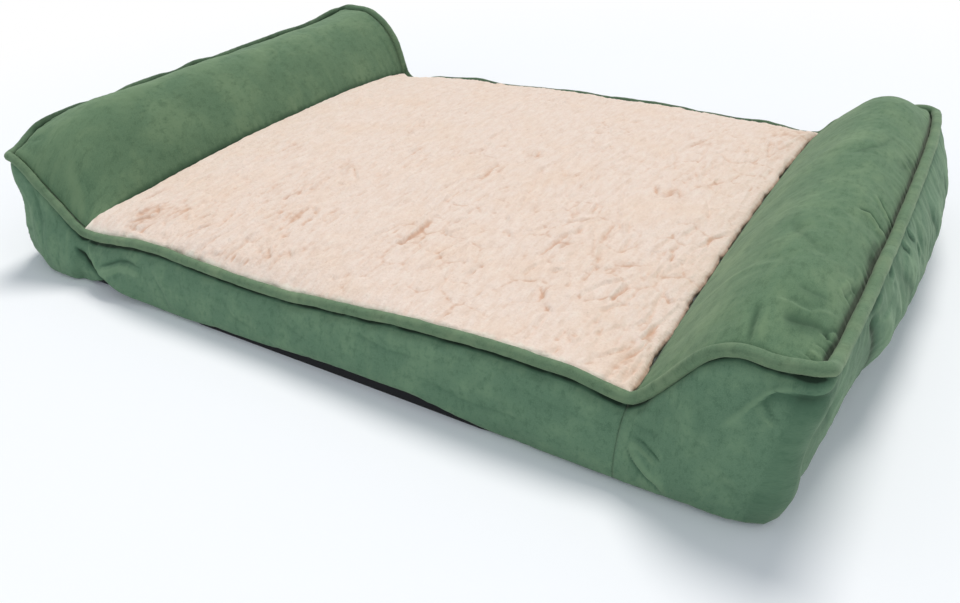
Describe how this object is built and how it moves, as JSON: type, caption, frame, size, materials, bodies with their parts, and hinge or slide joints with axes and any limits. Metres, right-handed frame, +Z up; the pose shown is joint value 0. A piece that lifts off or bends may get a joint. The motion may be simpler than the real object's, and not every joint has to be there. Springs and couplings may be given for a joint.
{
  "type": "dog sofa bed",
  "caption": "Low pet bed with a quilted fleece sleeping surface between two raised, padded end bolsters, edged with piping.",
  "frame": {"origin": "middle of the bed's footprint, on the floor", "axes": "+X towards the right bolster along the bed's length, -Y towards the front, +Z up"},
  "size_m": [1.0812, 0.7604, 0.2034],
  "materials": {
    "brushed_cloth": "short brushed pile, matt",
    "piping": "covered piping, matt",
    "fleece": "fluffy quilted fleece",
    "wadding": "loose white fibre",
    "lining": "thin non-woven cloth",
    "foam": "open-cell foam",
    "underside": "non-slip woven cloth, matt",
    "cord": "soft twisted cord",
    "zip_tape": "woven tape",
    "zip_coil": "nylon coil",
    "zip_metal": "satin paint"
  },
  "bodies": {
    "bed": {"sleep_panel": "fleece", "quilt_wadding": "wadding", "quilt_backing": "lining", "mattress_foam": "foam", "left_bolster_top": "brushed_cloth", "right_bolster_top": "brushed_cloth", "left_end_wrap": "brushed_cloth", "right_end_wrap": "brushed_cloth", "front_band": "brushed_cloth", "back_band_upper": "brushed_cloth", "back_band_lower": "brushed_cloth", "bottom_panel": "underside", "top_welt": "piping", "welt_cord": "cord", "left_divider": "lining", "right_divider": "lining", "left_bolster_bag": "lining", "right_bolster_bag": "lining", "left_bolster_fibre": "wadding", "right_bolster_fibre": "wadding", "zip_tape_upper": "zip_tape", "zip_tape_lower": "zip_tape", "zip_coil_upper": "zip_coil", "zip_coil_lower": "zip_coil", "zip_stop_closed": "zip_metal", "zip_stop_open": "zip_metal"},
    "slider": {"zip_slider": "zip_metal"},
    "pull": {"zip_pull": "zip_metal"}
  },
  "joints": [
    {"name": "zip_slide", "type": "slide", "parent": "bed", "child": "slider", "axis": [-1, 0, 0], "range_m": [0, 0.665]},
    {"name": "pull_turn", "type": "hinge", "parent": "slider", "child": "pull", "pos_m": [0.3327, 0.3775, 0.036], "axis": [0, 0, -1], "range_deg": [0, 180]}
  ]
}
